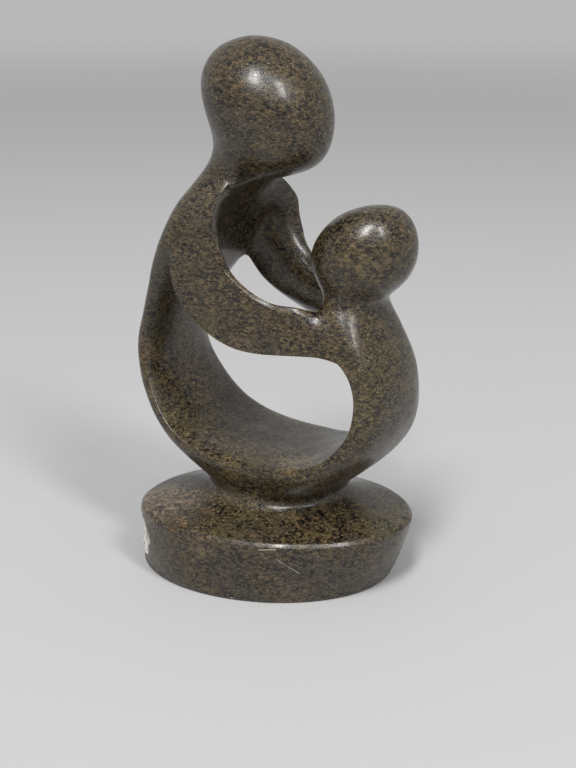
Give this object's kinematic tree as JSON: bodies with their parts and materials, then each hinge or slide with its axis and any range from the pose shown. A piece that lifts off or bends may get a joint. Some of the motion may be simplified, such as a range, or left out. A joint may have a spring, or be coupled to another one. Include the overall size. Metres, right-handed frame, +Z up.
{
  "type": "stone mother and child statue",
  "caption": "Carved and polished speckled stone mother bending over a child, on an oval plinth cut from the same block.",
  "frame": {"origin": "middle of the plinth's flat underside", "axes": "+Z up, -Y to the front, +X towards the child, so the mother is on the -X side"},
  "size_m": [0.1099, 0.0811, 0.1949],
  "materials": {
    "speckled_stone": "polished soft stone, brown-grey with dark specks and yellow-brown stains, with one pale chip"
  },
  "bodies": {
    "root": {"mother_and_child_carving": "speckled_stone"}
  },
  "joints": []
}
